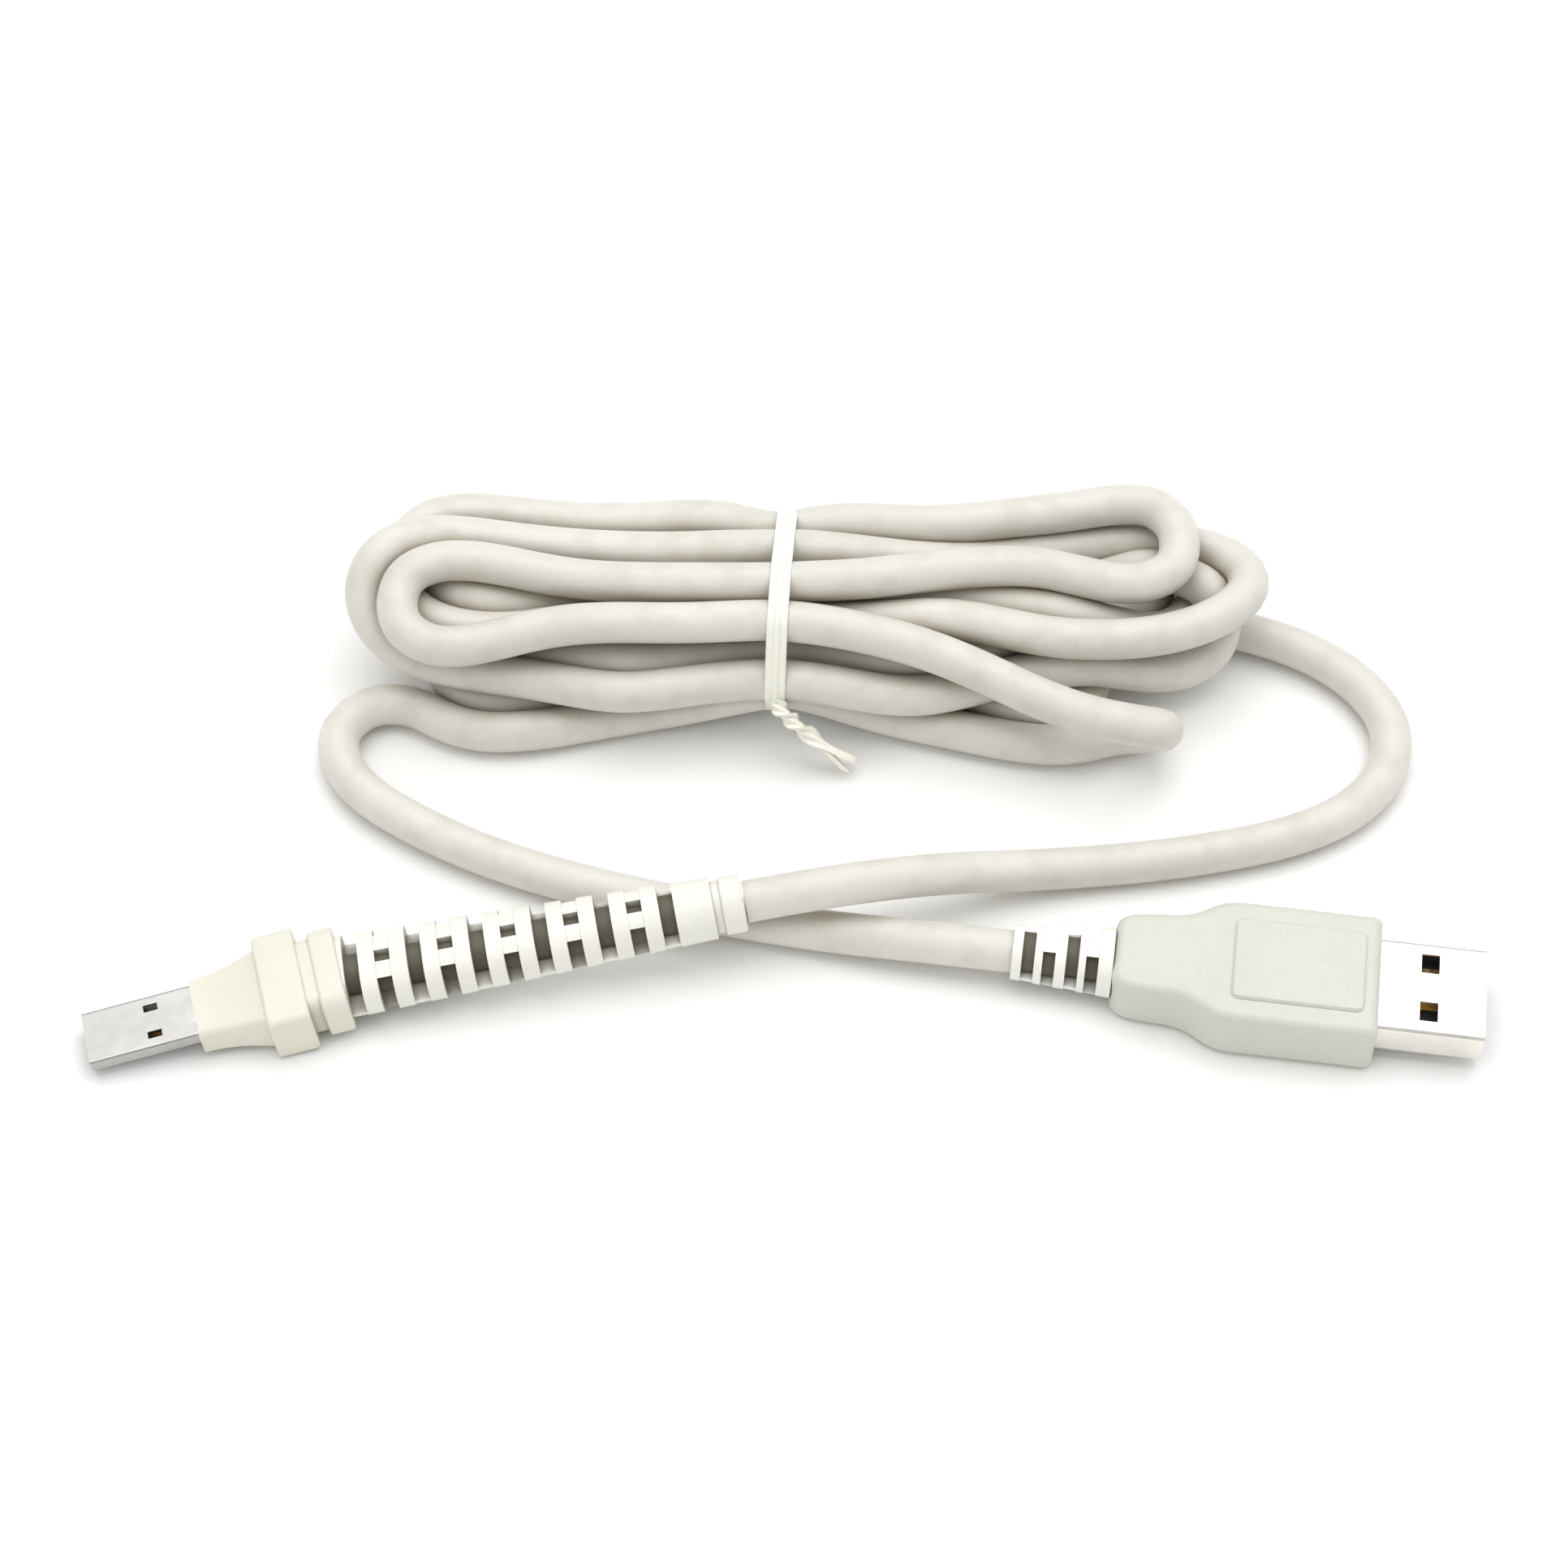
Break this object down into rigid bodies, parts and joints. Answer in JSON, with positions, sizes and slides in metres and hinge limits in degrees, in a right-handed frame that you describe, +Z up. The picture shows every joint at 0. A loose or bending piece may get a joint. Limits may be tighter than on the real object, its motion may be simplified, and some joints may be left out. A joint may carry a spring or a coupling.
{
  "type": "USB data cable",
  "caption": "Off-white USB data cable, type A to mini-B, with a long slotted strain relief, folded in a hank and held by a twist tie.",
  "frame": {"origin": "on the floor, at the middle of the box round the two plugs", "axes": "+X along the line from the mini-B plug towards the type A plug, +Y from the plugs towards the hank behind them, +Z up from the floor"},
  "size_m": [0.1561, 0.0777, 0.0204],
  "materials": {
    "cable_jacket": "satin soft PVC",
    "overmould_ivory": "fine moulded texture",
    "relief_ivory": "satin soft PVC",
    "plated_shell": "satin nickel plate",
    "carrier_black": "moulded",
    "gold_contact": "gold flash",
    "natural_polythene": "waxy",
    "tinned_braid": "woven",
    "wire_red": "smooth",
    "wire_white": "smooth",
    "wire_green": "smooth",
    "wire_black": "smooth",
    "tie_film": "thin film over wire",
    "tie_steel": "annealed"
  },
  "bodies": {
    "root": {"cable_entry_a": "cable_jacket", "cable_entry_b": "cable_jacket", "cable_hank": "cable_jacket", "cable_lead_a": "cable_jacket", "cable_lead_b": "cable_jacket", "mini_b_braid": "tinned_braid", "mini_b_contact_carrier": "carrier_black", "mini_b_contact_data_minus": "gold_contact", "mini_b_contact_data_plus": "gold_contact", "mini_b_contact_ground": "gold_contact", "mini_b_contact_id": "gold_contact", "mini_b_contact_vbus": "gold_contact", "mini_b_inner_mould": "natural_polythene", "mini_b_overmould": "overmould_ivory", "mini_b_rear_shield": "plated_shell", "mini_b_shell": "plated_shell", "mini_b_strain_relief": "relief_ivory", "mini_b_wire_black": "wire_black", "mini_b_wire_green": "wire_green", "mini_b_wire_red": "wire_red", "mini_b_wire_white": "wire_white", "tie_ribbon": "tie_film", "tie_wire": "tie_steel", "usb_a_braid": "tinned_braid", "usb_a_contact_carrier": "carrier_black", "usb_a_contact_data_minus": "gold_contact", "usb_a_contact_data_plus": "gold_contact", "usb_a_contact_ground": "gold_contact", "usb_a_contact_vbus": "gold_contact", "usb_a_inner_mould": "natural_polythene", "usb_a_overmould": "overmould_ivory", "usb_a_rear_shield": "plated_shell", "usb_a_shell": "plated_shell", "usb_a_strain_relief": "relief_ivory", "usb_a_wire_black": "wire_black", "usb_a_wire_green": "wire_green", "usb_a_wire_red": "wire_red", "usb_a_wire_white": "wire_white"}
  },
  "joints": []
}
